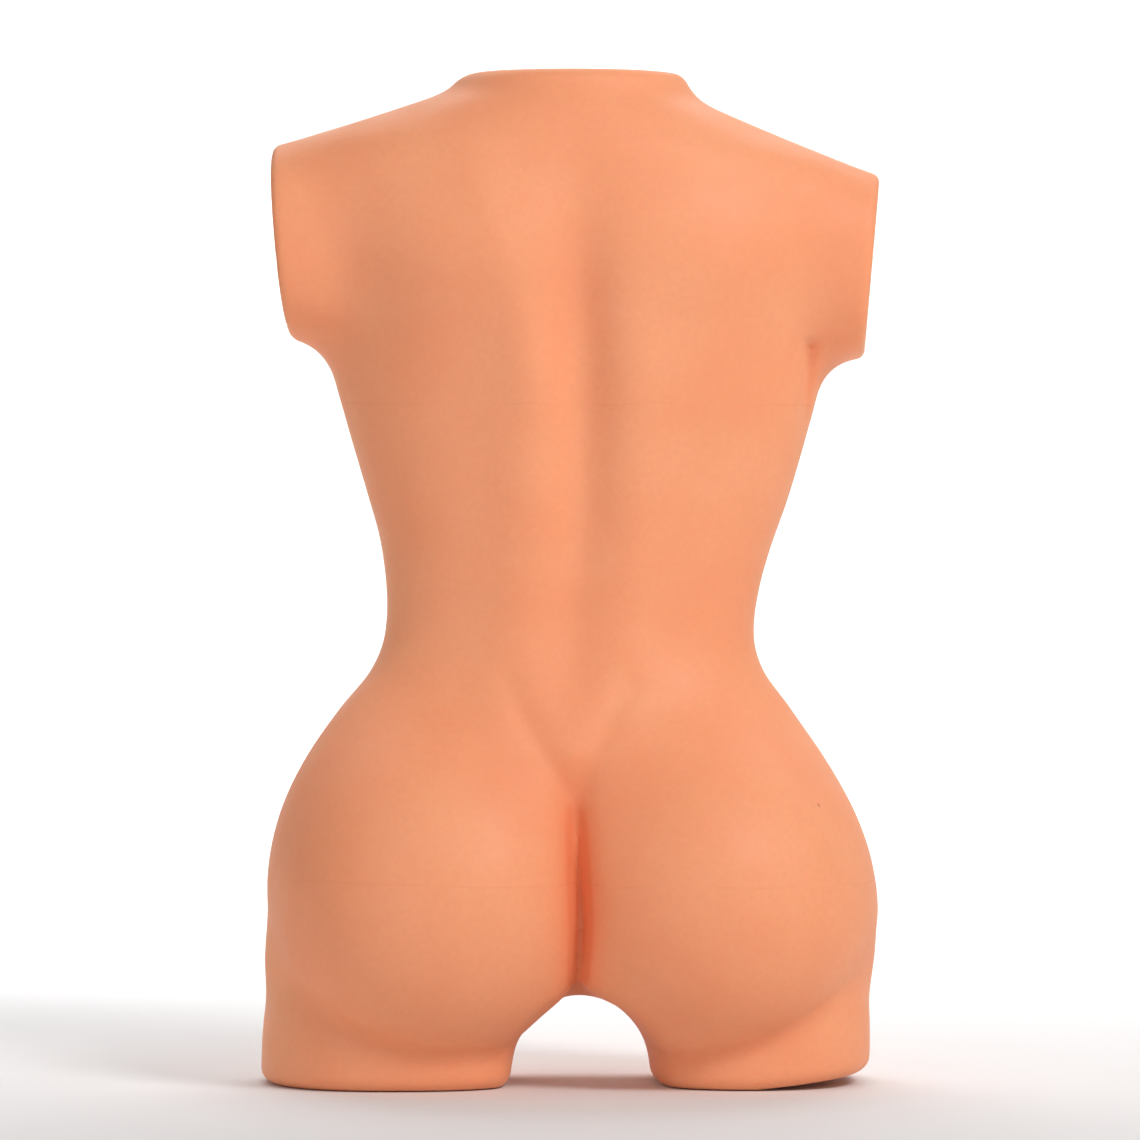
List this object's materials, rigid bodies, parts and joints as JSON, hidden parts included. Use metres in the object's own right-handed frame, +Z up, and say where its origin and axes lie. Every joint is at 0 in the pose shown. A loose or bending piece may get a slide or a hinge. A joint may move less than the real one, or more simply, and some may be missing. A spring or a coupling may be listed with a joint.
{
  "type": "torso mannequin",
  "caption": "Soft headless adult torso mannequin, cut flat at neck, shoulders and thighs, with a steel frame inside that bends at the waist.",
  "frame": {"origin": "on the floor, under the middle of the torso, at the level of the cut thighs", "axes": "+Z up, -Y is the torso's front, +Y its back, +X its own left"},
  "size_m": [0.3678, 0.2409, 0.612],
  "materials": {
    "elastomer": "soft matte elastomer with a faint sheen",
    "foam": "open-cell foam",
    "steel": "black powder coat",
    "zinc": "bright zinc plate",
    "brass": "bare friction lining"
  },
  "bodies": {
    "pelvis": {"foam_lower": "foam", "friction_disc_left": "brass", "friction_disc_right": "brass", "hinge_bolt": "zinc", "hinge_nut": "zinc", "hinge_spring": "zinc", "hinge_washer": "zinc", "hip_left_bolt": "zinc", "hip_left_nut": "zinc", "hip_right_bolt": "zinc", "hip_right_nut": "zinc", "leg_plug_left": "zinc", "leg_plug_right": "zinc", "leg_tube_left": "steel", "leg_tube_right": "steel", "lumbar_bolt": "zinc", "lumbar_nut": "zinc", "lumbar_post": "steel", "pelvis_frame": "steel", "skin_lower": "elastomer", "skin_waist": "elastomer", "spine_fork": "steel", "spine_fork_pin": "zinc", "thigh_plate_left": "steel", "thigh_plate_right": "steel", "thigh_screw_left": "zinc", "thigh_screw_right": "zinc"},
    "chest": {"chest_bolt": "zinc", "chest_frame": "steel", "chest_nut": "zinc", "chest_post": "steel", "clavicle_left_bolt": "zinc", "clavicle_left_nut": "zinc", "clavicle_plug_left": "zinc", "clavicle_plug_right": "zinc", "clavicle_right_bolt": "zinc", "clavicle_right_nut": "zinc", "clavicle_tube_left": "steel", "clavicle_tube_right": "steel", "foam_upper": "foam", "neck_bolt": "zinc", "neck_nut": "zinc", "neck_plate": "steel", "neck_post": "steel", "neck_set_screw": "zinc", "shoulder_disc_left": "steel", "shoulder_disc_right": "steel", "shoulder_screw_left": "zinc", "shoulder_screw_right": "zinc", "skin_upper": "elastomer", "spine_tongue": "steel", "spine_tongue_pin": "zinc"},
    "plug": {"neck_plug": "elastomer"}
  },
  "joints": [
    {"name": "spine_bend", "type": "hinge", "parent": "pelvis", "child": "chest", "pos_m": [0, 0.005, 0.285], "axis": [1, 0, 0], "range_deg": [-15, 30], "deforming": ["skin_waist"]},
    {"name": "neck_plug_lift", "type": "slide", "parent": "chest", "child": "plug", "axis": [0, 0, 1], "range_m": [0, 0.045]}
  ]
}
